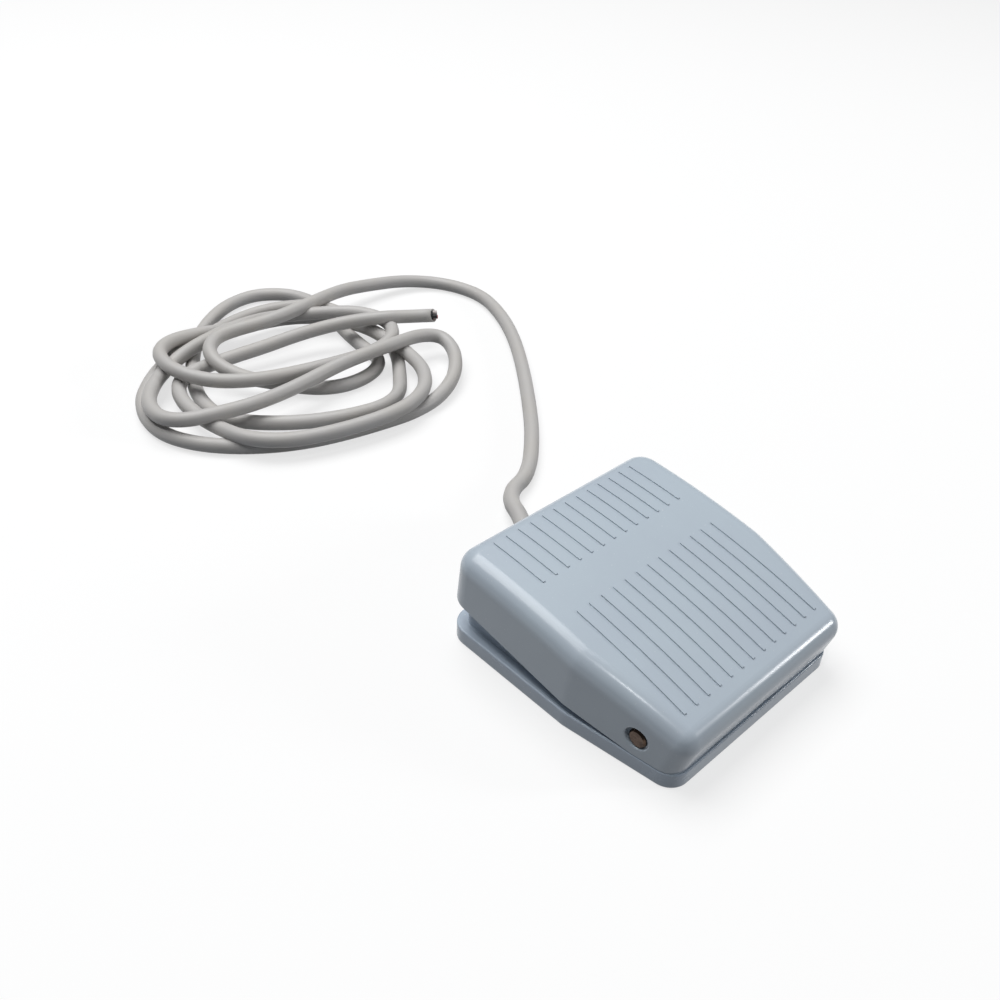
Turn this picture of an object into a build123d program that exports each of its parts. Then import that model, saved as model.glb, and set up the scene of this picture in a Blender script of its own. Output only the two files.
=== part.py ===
from build123d import *
import math
import os

# Mini foot switch: a hinged pedal on a moulded base tray, with a snap-action switch inside.
# Millimetres. X runs across, +Y towards the toe, +Z up. The origin is on the floor, under the middle.

# Base moulding
base_length = 81.0
heel_half_width = 35.0
toe_half_width = 40.0
kink_from_heel = 34.0
heel_corner = 6.0
toe_corner = 7.0
kink_round = 12.0
foot_stand = 0.4
floor_thick = 2.2
rim_height = 4.8
ledge_width = 3.4
inner_wall = 1.8
inner_wall_height = 8.8
edge_soft = 0.5

# Pivot pin and its ears
pin_back = 0.2
pin_lift = 0.5
pin_radius = 2.75
pin_recess = 0.4
pin_play = 0.04
ear_thick = 3.6
ear_radius = 5.4
boss_radius = 4.9
boss_stand = 1.15
boss_gap = 0.3
hole_radius = 3.35
hole_rise = 0.5
hole_depth = 1.2
clip_thick = 0.8
clip_radius = 5.0
clip_gap = 0.15
groove_depth = 0.5

# Pedal moulding, drawn square to its own sole from a root point near the pin
root_from_heel = 12.75
root_height = 10.6
rest_angle = 8.8
travel_angle = 7.0
pedal_wall = 2.4
skirt_drop = 5.75
relief_length = 17.0
rest_gap = 0.2
end_lean = 6.0
heel_lean = 6.0
heel_spare = 6.0
crown_from_root = 29.5
crown_rise = 13.45
crown_radius = 287.0
top_round = 5.4
pedal_heel_corner = 5.6
inner_round = 3.0
rim_soften = 0.45
heel_notch_left = -21.4
heel_notch_peak = 2.1
heel_notch_right = 17.0
heel_notch_low = 1.0
heel_notch_high = 2.6

# Ribs on the tread
rib_pitch = 4.73
rib_count = 13
rib_width = 0.9
rib_height = 0.35
front_rib_start = -5.9
front_rib_end = 32.1
back_rib_start = 44.7
back_rib_end = 64.2

# Return spring
spring_from_root = 39.0
spring_radius = 5.2
spring_wire = 1.2
spring_turns = 6.5
spring_seat_rise = 6.0
spring_gap = 0.25
cup_wall = 1.5
cup_height = 3.4
seat_radius = 7.0
spigot_radius = 3.4
spigot_drop = 3.0

# Snap switch
case_length = 19.8
case_width = 6.4
case_height = 10.2
case_wall = 1.0
case_bottom_wall = 1.2
case_from_root = 19.25
case_lift = 7.0
post_radius = 1.8
screw_hole_radius = 1.1
screw_pitch = 9.5
screw_up = 2.9
bracket_thick = 2.6
bracket_foot = 3.0

button_offset = 2.0
button_radius = 1.0
button_flange = 1.6
flange_thick = 0.8
slot_play = 0.1

lever_pivot = 8.4
lever_reach = 14.2
lever_contact = 13.0
lever_thick = 0.3
lever_width = 3.2
lever_tilt = 7.0
lever_barrel = 0.8
lever_lift = 1.0
lug_thick = 0.9
lever_pin_radius = 0.4

strip_thick = 0.5
strip_width = 2.4
leg_pitch = 7.0
leg_drop = 3.6
blade_up = 5.4
blade_thick = 0.2
blade_reach = 9.8
contact_radius = 0.7
contact_height = 0.4
contact_gap = 0.2

# Screws
small_screw_radius = 1.0
small_head_radius = 1.9
small_head_height = 1.2
screw_recess = 0.5
clamp_screw_radius = 1.4
clamp_head_radius = 2.6
clamp_head_height = 1.8

# Cord, its grommet and clamp
cord_diameter = 5.6
cord_height = 6.2
grommet_wall = 1.3
grommet_flange = 1.4
grommet_flange_thick = 2.0
nose_wall = 1.5
nose_depth = 7.2
notch_gap = 0.8
sheath_bare = 2.1
clamp_depth = 4.4
clamp_set_back = 1.3
sleeve_gap = 0.05
clamp_half_width = 9.6
clamp_screw_x = 6.9
clamp_gap = 0.4
clamp_top = 11.0
core_diameter = 1.7
core_ring = 1.15

# Stops and feet
bumper_x = 24.0
bumper_from_root = 48.5
bumper_radius = 4.0
bumper_height = 6.0
stop_post_radius = 3.0
stop_gap = 0.3
foot_radius = 4.5
foot_pocket = 0.9
foot_inset = 9.0
foot_from_end = 11.5

# Places that follow from the sizes above
heel_y = -base_length / 2
toe_y = base_length / 2
kink_y = heel_y + kink_from_heel
rim_z = foot_stand + rim_height
floor_z = foot_stand + floor_thick
wall_z = foot_stand + inner_wall_height
root_y = heel_y + root_from_heel
pin_y = root_y - pin_back
pin_height = root_height + pin_lift
pin_from_heel = root_from_heel - pin_back
clamp_middle = toe_y - nose_depth - clamp_set_back - clamp_depth / 2
sheath_end = clamp_middle - clamp_depth / 2 - sheath_bare
cord_radius = cord_diameter / 2
core_radius = core_diameter / 2
rest = math.radians(rest_angle)
travel = math.radians(travel_angle)
closed = rest - travel


def frame_at(angle):
    """The pedal's own plane with its sole lifted by an angle: X across, Y along the tread, Z off it."""
    lift = (0, -math.sin(angle), math.cos(angle))
    return Plane(origin=(0, root_y, root_height), x_dir=(1, 0, 0), z_dir=lift)


pedal_plane = frame_at(rest)
side_plane = Plane(
    origin=(0, root_y, root_height),
    x_dir=(0, math.cos(rest), math.sin(rest)),
    z_dir=(1, 0, 0),
)


def along(distance):
    """How far a point on the floor plan lies along the tread from the root."""
    return distance / math.cos(rest)


def crown_at(along_tread):
    """Height of the bare tread over the root, in the pedal's own plane."""
    across = along_tread - crown_from_root
    return crown_rise - crown_radius + math.sqrt(crown_radius**2 - across**2)


def half_width(from_heel):
    """Half width of the plan at a distance from the heel."""
    share = min(max(from_heel / kink_from_heel, -1), 1)
    return heel_half_width + (toe_half_width - heel_half_width) * share


def outline(heel_at, heel_half, kink_at, toe_at, heel_round, inset):
    """The plan that base and pedal share: narrow at the heel, wide from the kink to the toe."""
    corners = [
        (-heel_half, heel_at),
        (heel_half, heel_at),
        (toe_half_width, kink_at),
        (toe_half_width, toe_at),
        (-toe_half_width, toe_at),
        (-toe_half_width, kink_at),
    ]
    with BuildSketch() as plan:
        with BuildLine():
            Polyline(*corners, close=True)
        make_face()
        if heel_round:
            fillet(plan.vertices().group_by(Axis.Y)[0], heel_round)
        fillet(plan.vertices().group_by(Axis.Y)[-1], toe_corner)
        kinks = plan.vertices().filter_by_position(Axis.Y, kink_at - edge_soft, kink_at + edge_soft)
        fillet(kinks, kink_round)
        if inset:
            offset(amount=-inset)
    return plan.sketch


rim_plan = outline(heel_y, heel_half_width, kink_y, toe_y, heel_corner, 0)
wall_plan = outline(heel_y, heel_half_width, kink_y, toe_y, heel_corner, ledge_width)
tray_plan = outline(heel_y, heel_half_width, kink_y, toe_y, heel_corner, ledge_width + inner_wall)

# Base tray
side_face = half_width(pin_from_heel)
ear_face = side_face - pedal_wall - boss_stand - boss_gap
ear_inner = ear_face - ear_thick
grommet_radius = cord_radius + grommet_wall
nose_radius = grommet_radius + nose_wall
spring_y = root_y + spring_from_root
cup_inner = spring_radius + spring_wire / 2 + spring_gap * 2
case_y = root_y + case_from_root
bracket_face = -case_width / 2
case_top = case_lift + case_height
screw_z = case_lift + screw_up
bumper_y = root_y + bumper_from_root
saddle_top = cord_height - clamp_gap / 2
foot_x = heel_half_width - foot_inset
foot_y = toe_y - foot_from_end
foot_spots = [(-foot_x, -foot_y), (foot_x, -foot_y), (-foot_x, foot_y), (foot_x, foot_y)]
pocket_radius = boss_radius + boss_gap

with BuildPart() as base:
    with BuildSketch(Plane.XY.offset(foot_stand)):
        add(rim_plan)
    extrude(amount=rim_height)
    fillet(base.faces().sort_by(Axis.Z)[-1].edges(), edge_soft)
    with BuildSketch(Plane.XY.offset(rim_z)):
        add(wall_plan)
    extrude(amount=wall_z - rim_z)
    with BuildSketch(Plane.XY.offset(floor_z)):
        add(tray_plan)
    extrude(amount=wall_z - floor_z, mode=Mode.SUBTRACT)
    # Ears that carry the pin, grown out of the inner wall
    with BuildSketch(Plane.YZ.offset(ear_inner)):
        with Locations((pin_y, pin_height)):
            Circle(ear_radius)
        with Locations((pin_y, (floor_z + pin_height) / 2)):
            Rectangle(2 * ear_radius, pin_height - floor_z)
    extrude(amount=ear_thick)
    with BuildSketch(Plane.YZ.offset(-ear_face)):
        with Locations((pin_y, pin_height)):
            Circle(ear_radius)
        with Locations((pin_y, (floor_z + pin_height) / 2)):
            Rectangle(2 * ear_radius, pin_height - floor_z)
    extrude(amount=ear_thick)
    # Room for the pedal's bosses outside the ears
    for side in (-1, 1):
        with BuildSketch(Plane.YZ.offset(side * ear_face)):
            with Locations((pin_y, pin_height)):
                Circle(pocket_radius)
        extrude(amount=side * (toe_half_width - ear_face), mode=Mode.SUBTRACT)
    with BuildSketch(Plane.YZ.offset(-toe_half_width)):
        with Locations((pin_y, pin_height)):
            Circle(pin_radius + pin_play)
    extrude(amount=2 * toe_half_width, mode=Mode.SUBTRACT)
    # Cup for the return spring
    with BuildSketch(Plane.XY.offset(floor_z)):
        with Locations((0, spring_y)):
            Circle(cup_inner + cup_wall)
            Circle(cup_inner, mode=Mode.SUBTRACT)
    extrude(amount=cup_height)
    # Bracket that the snap switch is screwed to
    with BuildSketch(Plane.YZ.offset(bracket_face - bracket_thick)):
        with Locations((case_y, (floor_z + case_lift + 2 * screw_up) / 2)):
            Rectangle(case_length, case_lift + 2 * screw_up - floor_z)
        for shift in (-screw_pitch / 2, screw_pitch / 2):
            with Locations((case_y + shift, screw_z)):
                Circle(small_screw_radius, mode=Mode.SUBTRACT)
    extrude(amount=bracket_thick)
    with BuildSketch(Plane.XY.offset(floor_z)):
        for shift in (-case_length / 3, case_length / 3):
            with Locations((bracket_face - bracket_thick - bracket_foot / 2, case_y + shift)):
                Rectangle(bracket_foot, pedal_wall)
    extrude(amount=case_lift - floor_z)
    # Nose that the cord leaves through, and the saddle under its clamp
    with BuildSketch(Plane.XZ.offset(-toe_y)):
        with Locations((0, cord_height)):
            Circle(nose_radius)
        with Locations((0, (foot_stand + cord_height) / 2)):
            Rectangle(2 * nose_radius, cord_height - foot_stand)
    extrude(amount=nose_depth)
    with BuildSketch(Plane.XZ.offset(-toe_y)):
        with Locations((0, cord_height)):
            Circle(grommet_radius)
    extrude(amount=nose_depth, mode=Mode.SUBTRACT)
    with BuildSketch(Plane.XY.offset(floor_z)):
        with Locations((0, clamp_middle)):
            Rectangle(2 * clamp_half_width, clamp_depth)
        with Locations((-clamp_screw_x, clamp_middle), (clamp_screw_x, clamp_middle)):
            Circle(clamp_screw_radius, mode=Mode.SUBTRACT)
    extrude(amount=saddle_top - floor_z)
    with BuildSketch(Plane.XZ.offset(-clamp_middle - clamp_depth / 2)):
        with Locations((0, cord_height)):
            Circle(cord_radius + sleeve_gap)
    extrude(amount=clamp_depth, mode=Mode.SUBTRACT)
    # Pockets for the feet
    with BuildSketch(Plane.XY.offset(foot_stand)):
        with Locations(*foot_spots):
            Circle(foot_radius)
    extrude(amount=foot_pocket, mode=Mode.SUBTRACT)
base.part.label = "base"

with BuildPart() as rubber_feet:
    with BuildSketch(Plane.XY):
        with Locations(*foot_spots):
            Circle(foot_radius)
    extrude(amount=foot_stand + foot_pocket)
    chamfer(rubber_feet.faces().group_by(Axis.Z)[0].edges(), foot_stand / 2)
rubber_feet.part.label = "rubber_feet"

with BuildPart() as stop_bumpers:
    with BuildSketch(Plane.XY.offset(floor_z)):
        with Locations((-bumper_x, bumper_y), (bumper_x, bumper_y)):
            Circle(bumper_radius)
    extrude(amount=bumper_height)
    fillet(stop_bumpers.faces().group_by(Axis.Z)[-1].edges(), edge_soft)
stop_bumpers.part.label = "stop_bumpers"

# Pedal: the plan swept up along the toe's lean, trimmed to the crown and to the heel's own lean
heel_at = -root_from_heel + rest_gap
toe_at = base_length - root_from_heel
kink_at = kink_from_heel - root_from_heel
relief_drop = (root_height - rim_z - rest_gap) / math.cos(rest)
full_rise = crown_rise + skirt_drop + pedal_wall
widest = 2 * toe_half_width + pedal_wall
end_angle = math.radians(end_lean)
lean_way = (0, -math.sin(end_angle), math.cos(end_angle))
heel_slope = math.radians(heel_lean)
far_heel = heel_at - heel_spare
far_half = half_width(rest_gap - heel_spare)
pedal_plan = outline(far_heel, far_half, kink_at, toe_at, 0, 0)
cavity_plan = outline(far_heel, far_half, kink_at, toe_at, 0, pedal_wall)


def side_profile(inset):
    """Side view of the pedal, inset by a wall: crowned above, with a heel that leans out."""
    foot_at = heel_at + inset / math.cos(heel_slope)
    head_at = foot_at - full_rise * math.tan(heel_slope)
    far_toe = toe_at + full_rise
    with BuildSketch() as profile:
        with Locations((crown_from_root, crown_rise - crown_radius)):
            Circle(crown_radius - inset)
        with BuildLine():
            Polyline(
                (foot_at, -skirt_drop),
                (head_at, full_rise - skirt_drop),
                (far_toe, full_rise - skirt_drop),
                (far_toe, -skirt_drop),
                close=True,
            )
        make_face(mode=Mode.INTERSECT)
    return profile.sketch


def heel_uprights(solid):
    """The two upright edges at the ends of the heel face."""
    found = []
    for edge in solid.edges():
        extent = edge.bounding_box()
        if extent.size.Z > skirt_drop and extent.center().Y < root_y - root_from_heel / 2:
            found.append(edge)
    return found


with BuildPart() as cavity:
    with BuildSketch(pedal_plane.offset(-skirt_drop)):
        add(cavity_plan)
    extrude(amount=full_rise, dir=lean_way)
    with BuildSketch(side_plane.offset(-widest / 2)):
        add(side_profile(pedal_wall))
    extrude(amount=widest, mode=Mode.INTERSECT)
    fillet(heel_uprights(cavity), pedal_heel_corner - pedal_wall)
    fillet(cavity.faces().sort_by(Axis.Z)[-1].edges(), inner_round)

notch_half = nose_radius + notch_gap
toe_reach = toe_y - root_y
notch_rise = cord_height + nose_radius + notch_gap - root_height - toe_reach * math.sin(closed)
spring_along = along(spring_from_root)
bumper_along = along(bumper_from_root)
stop_drop = root_height - floor_z - bumper_height - stop_gap + bumper_along * math.sin(closed)
lever_slope = math.radians(lever_tilt)
lever_pivot_y = case_y + lever_pivot
lever_pivot_z = case_top + lever_lift
press_y = lever_pivot_y - lever_contact * math.cos(lever_slope)
press_z = lever_pivot_z + lever_contact * math.sin(lever_slope) + 1.5 * lever_thick * math.cos(lever_slope)
press_tip = 1.5
rib_spots = [rib_pitch * (i - (rib_count - 1) / 2) for i in range(rib_count)]
press_local = pedal_plane.to_local_coords(Vector(0, press_y, press_z + slot_play + press_tip))

# How far the lever, the button and the blade go while the pedal makes its travel
press_arm = press_y - pin_y
press_above = press_z + slot_play - pin_height
press_sink = press_arm * math.sin(travel) + press_above * (1 - math.cos(travel))
press_slide = press_above * math.sin(travel) - press_arm * (1 - math.cos(travel))
lever_fall = press_sink - lever_contact * math.sin(lever_slope)
lever_end = math.atan2(lever_fall, lever_contact * math.cos(lever_slope) - press_slide)
lever_turn = lever_slope + lever_end
button_stroke = (lever_pivot - button_offset) * (math.tan(lever_slope) + math.tan(lever_end))
blade_turn = button_stroke / (leg_pitch - button_offset)
print("lever turn", math.degrees(lever_turn), "ratio", lever_turn / travel)
print("button stroke", button_stroke, "ratio", button_stroke / 1000 / travel)
print("blade turn", math.degrees(blade_turn), "ratio", blade_turn / travel)

with BuildPart() as pedal:
    with BuildSketch(pedal_plane.offset(-skirt_drop)):
        add(pedal_plan)
    extrude(amount=full_rise, dir=lean_way)
    with BuildSketch(side_plane.offset(-widest / 2)):
        add(side_profile(0))
    extrude(amount=widest, mode=Mode.INTERSECT)
    fillet(heel_uprights(pedal), pedal_heel_corner)
    fillet(pedal.faces().sort_by(Axis.Z)[-1].edges(), top_round)
    add(cavity.part, mode=Mode.SUBTRACT)
    # Sole cut back towards the heel, where the skirt rests on the ledge
    with BuildSketch(side_plane.offset(-widest / 2)):
        with BuildLine():
            Polyline(
                (2 * heel_at, -relief_drop - 2 * heel_at * math.tan(rest)),
                (0, -relief_drop),
                (relief_length, -skirt_drop),
                (relief_length, -2 * skirt_drop),
                (2 * heel_at, -2 * skirt_drop),
                close=True,
            )
        make_face()
    extrude(amount=widest, mode=Mode.SUBTRACT)
    # Uneven notch in the heel lip
    with BuildSketch(Plane.XZ.offset(-heel_y - pedal_wall)):
        with BuildLine():
            Polyline(
                (heel_notch_left, rim_z),
                (heel_notch_left, rim_z + rest_gap + heel_notch_low),
                (heel_notch_peak, rim_z + rest_gap + heel_notch_high),
                (heel_notch_right, rim_z),
                close=True,
            )
        make_face()
    extrude(amount=3 * pedal_wall, mode=Mode.SUBTRACT)
    # Notch over the cord's nose
    with BuildSketch(side_plane.offset(-notch_half)):
        with Locations((toe_at, (notch_rise - 2 * skirt_drop) / 2)):
            Rectangle(4 * pedal_wall, notch_rise + 2 * skirt_drop)
    extrude(amount=2 * notch_half, mode=Mode.SUBTRACT)
    # Bosses round the pin
    for side in (-1, 1):
        with BuildSketch(Plane.YZ.offset(side * (ear_face + boss_gap))):
            with Locations((pin_y, pin_height)):
                Circle(boss_radius)
        extrude(amount=side * (side_face - pedal_wall / 2 - ear_face - boss_gap))
    with BuildSketch(Plane.YZ.offset(-toe_half_width)):
        with Locations((pin_y, pin_height)):
            Circle(pin_radius + pin_play)
    extrude(amount=2 * toe_half_width, mode=Mode.SUBTRACT)
    # Wider mouths of the pin holes, set a little high, with softened rims
    for side in (-1, 1):
        with BuildSketch(Plane.YZ.offset(side * (side_face - hole_depth))):
            with Locations((pin_y, pin_height + hole_rise)):
                Circle(hole_radius)
        extrude(amount=side * pedal_wall, mode=Mode.SUBTRACT)
    rims = []
    for edge in pedal.edges():
        middle = edge.bounding_box().center()
        off_axis = math.hypot(middle.Y - pin_y, middle.Z - pin_height - hole_rise)
        if abs(middle.X) > side_face - rim_soften and off_axis < rim_soften:
            rims.append(edge)
    fillet(rims, rim_soften)
    # Spring seat and spigot
    with BuildSketch(pedal_plane.offset(spring_seat_rise)):
        with Locations((0, spring_along)):
            Circle(seat_radius)
    extrude(amount=crown_at(spring_along) - pedal_wall / 2 - spring_seat_rise)
    with BuildSketch(pedal_plane.offset(spring_seat_rise - spigot_drop)):
        with Locations((0, spring_along)):
            Circle(spigot_radius)
    extrude(amount=spigot_drop)
    # Rounded finger that works the switch lever
    with BuildSketch(pedal_plane.offset(press_local.Z)):
        with Locations((0, press_local.Y)):
            Rectangle(lever_width, 2 * press_tip)
    extrude(amount=crown_at(press_local.Y) - pedal_wall / 2 - press_local.Z)
    with BuildSketch(side_plane.offset(-lever_width / 2)):
        with Locations((press_local.Y, press_local.Z)):
            Circle(press_tip)
    extrude(amount=lever_width)
    # Posts that land on the bumpers
    with BuildSketch(pedal_plane.offset(-stop_drop)):
        with Locations((-bumper_x, bumper_along), (bumper_x, bumper_along)):
            Circle(stop_post_radius)
    extrude(amount=crown_at(bumper_along) - pedal_wall / 2 + stop_drop)
    # Tread ribs
    with BuildSketch(*[side_plane.offset(x - rib_width / 2) for x in rib_spots]):
        with Locations((crown_from_root, crown_rise - crown_radius)):
            Circle(crown_radius + rib_height)
            Circle(crown_radius - pedal_wall / 2, mode=Mode.SUBTRACT)
        with Locations(((front_rib_start + front_rib_end) / 2, crown_rise)):
            Rectangle(front_rib_end - front_rib_start, 4 * pedal_wall, mode=Mode.INTERSECT)
    extrude(amount=rib_width)
    with BuildSketch(*[side_plane.offset(x - rib_width / 2) for x in rib_spots]):
        with Locations((crown_from_root, crown_rise - crown_radius)):
            Circle(crown_radius + rib_height)
            Circle(crown_radius - pedal_wall / 2, mode=Mode.SUBTRACT)
        with Locations(((back_rib_start + back_rib_end) / 2, crown_rise)):
            Rectangle(back_rib_end - back_rib_start, 4 * pedal_wall, mode=Mode.INTERSECT)
    extrude(amount=rib_width)
pedal.part.label = "pedal"

# Pivot pin with a ring groove inside each ear
pin_half = side_face - pin_recess
clip_middle = ear_inner - clip_gap - clip_thick / 2

with BuildPart() as pivot_pin:
    with BuildSketch(Plane.YZ.offset(-pin_half)):
        with Locations((pin_y, pin_height)):
            Circle(pin_radius)
    extrude(amount=2 * pin_half)
    chamfer(pivot_pin.edges().group_by(Axis.X)[0], rim_soften)
    chamfer(pivot_pin.edges().group_by(Axis.X)[-1], rim_soften)
    for side in (-1, 1):
        with BuildSketch(Plane.YZ.offset(side * clip_middle - clip_thick / 2 - slot_play)):
            with Locations((pin_y, pin_height)):
                Circle(2 * pin_radius)
                Circle(pin_radius - groove_depth, mode=Mode.SUBTRACT)
        extrude(amount=clip_thick + 2 * slot_play, mode=Mode.SUBTRACT)
pivot_pin.part.label = "pivot_pin"

with BuildPart() as pin_clips:
    for side in (-1, 1):
        with BuildSketch(Plane.YZ.offset(side * clip_middle - clip_thick / 2)):
            with Locations((pin_y, pin_height)):
                Circle(clip_radius)
                Circle(pin_radius - groove_depth + pin_play, mode=Mode.SUBTRACT)
            with Locations((pin_y, pin_height + clip_radius)):
                Rectangle(pin_radius, 2 * clip_radius, mode=Mode.SUBTRACT)
        extrude(amount=clip_thick)
pin_clips.part.label = "pin_clips"

# Return spring, upright in its cup and just under the tilted seat
seat_middle = pedal_plane.from_local_coords(Vector(0, spring_along, spring_seat_rise))
spring_top = seat_middle.Z - (spring_radius + spring_wire / 2) * math.tan(rest) - spring_gap
spring_bottom = floor_z
spring_height = spring_top - spring_bottom - spring_wire
coil_start = (spring_radius, spring_y, spring_bottom + spring_wire / 2)

with BuildPart() as return_spring:
    with BuildLine() as spring_path:
        Helix(
            pitch=spring_height / spring_turns,
            height=spring_height,
            radius=spring_radius,
            center=(0, spring_y, spring_bottom + spring_wire / 2),
        )
    with BuildSketch(Plane(origin=coil_start, z_dir=spring_path.line % 0)):
        Circle(spring_wire / 2)
    sweep()
return_spring.part.label = "return_spring"

# Snap switch case, open on its right side
case_left = -case_width / 2
cover_left = case_width / 2 - case_wall
case_floor = case_lift + case_bottom_wall
case_roof = case_top - case_wall
post_spots = [(case_y - screw_pitch / 2, screw_z), (case_y + screw_pitch / 2, screw_z)]
leg_spots = [case_y - leg_pitch, case_y, case_y + leg_pitch]

with BuildPart() as switch_case:
    with BuildSketch(Plane.YZ.offset(case_left)):
        with Locations((case_y, case_lift + case_height / 2)):
            Rectangle(case_length, case_height)
    extrude(amount=case_width - case_wall)
    with BuildSketch(Plane.YZ.offset(case_left + case_wall)):
        with Locations((case_y, (case_floor + case_roof) / 2)):
            Rectangle(case_length - 2 * case_wall, case_roof - case_floor)
        with Locations(*post_spots):
            Circle(post_radius, mode=Mode.SUBTRACT)
    extrude(amount=case_width, mode=Mode.SUBTRACT)
    # Lugs for the lever's pin
    for left in (-lever_width / 2 - slot_play - lug_thick, lever_width / 2 + slot_play):
        with BuildSketch(Plane.YZ.offset(left)):
            with Locations((lever_pivot_y, lever_pivot_z)):
                Circle(lever_barrel + slot_play)
            with Locations((lever_pivot_y, (case_top + lever_pivot_z) / 2 - slot_play)):
                Rectangle(2 * (lever_barrel + slot_play), lever_lift + 2 * slot_play)
        extrude(amount=min(lug_thick, cover_left - left) if left > 0 else lug_thick)
    with BuildSketch(Plane.YZ.offset(case_left)):
        with Locations(*post_spots):
            Circle(screw_hole_radius)
        with Locations((lever_pivot_y, lever_pivot_z)):
            Circle(lever_pin_radius + slot_play / 4)
    extrude(amount=case_width, mode=Mode.SUBTRACT)
    with BuildSketch(Plane.XY.offset(case_roof - case_wall)):
        with Locations((0, case_y + button_offset)):
            Circle(button_radius + slot_play)
    extrude(amount=3 * case_wall, mode=Mode.SUBTRACT)
    with BuildSketch(Plane.XY.offset(case_lift - case_wall)):
        with Locations(*[(0, y) for y in leg_spots]):
            Rectangle(strip_width + slot_play, strip_thick + slot_play)
    extrude(amount=case_wall + case_bottom_wall + slot_play, mode=Mode.SUBTRACT)
switch_case.part.label = "switch_case"

with BuildPart() as switch_cover:
    with BuildSketch(Plane.YZ.offset(cover_left)):
        with Locations((case_y, case_lift + case_height / 2)):
            Rectangle(case_length, case_height)
        with Locations(*post_spots):
            Circle(screw_hole_radius, mode=Mode.SUBTRACT)
    extrude(amount=case_wall)
switch_cover.part.label = "switch_cover"

with BuildPart() as switch_screws:
    with BuildSketch(Plane.YZ.offset(bracket_face - bracket_thick)):
        with Locations(*post_spots):
            Circle(small_screw_radius)
    extrude(amount=case_width + bracket_thick)
    with BuildSketch(Plane.YZ.offset(case_width / 2)):
        with Locations(*post_spots):
            Circle(small_head_radius)
    extrude(amount=small_head_height)
    with BuildSketch(Plane.YZ.offset(case_width / 2 + small_head_height - screw_recess)):
        with Locations(*post_spots):
            Rectangle(small_head_radius * 1.3, screw_recess)
            Rectangle(screw_recess, small_head_radius * 1.3)
    extrude(amount=screw_recess, mode=Mode.SUBTRACT)
switch_screws.part.label = "switch_screws"

button_y = case_y + button_offset
blade_z = case_lift + blade_up
button_top = lever_pivot_z + (lever_pivot - button_offset) * math.tan(lever_slope) + lever_thick / 2 - slot_play
button_foot = blade_z + blade_thick + 2 * slot_play
with BuildPart() as switch_button:
    with BuildSketch(Plane.XY.offset(button_foot)):
        with Locations((0, button_y)):
            Circle(button_radius)
    extrude(amount=button_top - button_foot)
    with BuildSketch(Plane.XY.offset(case_roof - contact_gap - flange_thick)):
        with Locations((0, button_y)):
            Circle(button_flange)
    extrude(amount=flange_thick)
    fillet(switch_button.faces().sort_by(Axis.Z)[-1].edges(), edge_soft)
    fillet(switch_button.faces().sort_by(Axis.Z)[0].edges(), edge_soft)
switch_button.part.label = "switch_button"

# Lever: a barrel on its pin and a flat blade that slopes up towards the heel
lever_plane = Plane(
    origin=(0, lever_pivot_y, lever_pivot_z),
    x_dir=(0, -math.cos(lever_slope), math.sin(lever_slope)),
    z_dir=(-1, 0, 0),
)
with BuildPart() as switch_lever:
    with BuildSketch(lever_plane.offset(-lever_width / 2)):
        Circle(lever_barrel)
        with Locations((lever_reach / 2, lever_thick)):
            Rectangle(lever_reach, lever_thick)
        Circle(lever_pin_radius + pin_play, mode=Mode.SUBTRACT)
    extrude(amount=lever_width)
switch_lever.part.label = "switch_lever"

with BuildPart() as lever_pin:
    with BuildSketch(Plane.YZ.offset(-lever_width / 2 - slot_play - lug_thick)):
        with Locations((lever_pivot_y, lever_pivot_z)):
            Circle(lever_pin_radius)
    extrude(amount=case_width - 2 * slot_play - lug_thick)
lever_pin.part.label = "lever_pin"

# Contact blade, carried at the common terminal
blade_y = case_y + leg_pitch
with BuildPart() as contact_blade:
    with BuildSketch(Plane.XY.offset(blade_z)):
        with Locations((0, blade_y - blade_reach / 2)):
            Rectangle(strip_width, blade_reach)
    extrude(amount=blade_thick)
contact_blade.part.label = "contact_blade"


def terminal(leg_y, top_z, shelf_end, tip_y, tip_side):
    """A bent strip: a leg through the case floor, a shelf inside and a contact on the shelf."""
    with BuildPart() as piece:
        with BuildSketch(Plane.XY.offset(case_lift - leg_drop)):
            with Locations((0, leg_y)):
                Rectangle(strip_width, strip_thick)
        extrude(amount=top_z - case_lift + leg_drop)
        if shelf_end is not None:
            low = min(leg_y - strip_thick / 2, shelf_end)
            high = max(leg_y + strip_thick / 2, shelf_end)
            with BuildSketch(Plane.XY.offset(top_z - strip_thick)):
                with Locations((0, (low + high) / 2)):
                    Rectangle(strip_width, high - low)
            extrude(amount=strip_thick)
            face_z = top_z if tip_side > 0 else top_z - strip_thick
            with BuildSketch(Plane.XY.offset(face_z)):
                with Locations((0, tip_y)):
                    Circle(contact_radius)
            extrude(amount=tip_side * contact_height)
    return piece


blade_tip = blade_y - blade_reach
contact_y = blade_tip + contact_radius + slot_play
blade_drop = blade_turn * blade_reach
open_top = blade_z - blade_drop - contact_height - contact_gap
rest_top = blade_z + blade_thick + contact_gap + contact_height + strip_thick
terminal_common = terminal(blade_y, blade_z - slot_play / 2, None, 0, 0)
terminal_open = terminal(case_y, open_top, contact_y - contact_radius, contact_y, 1)
terminal_rest = terminal(case_y - leg_pitch, rest_top, contact_y + contact_radius, contact_y, -1)
terminal_common.part.label = "terminal_common"
terminal_open.part.label = "terminal_open"
terminal_rest.part.label = "terminal_rest"

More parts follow.
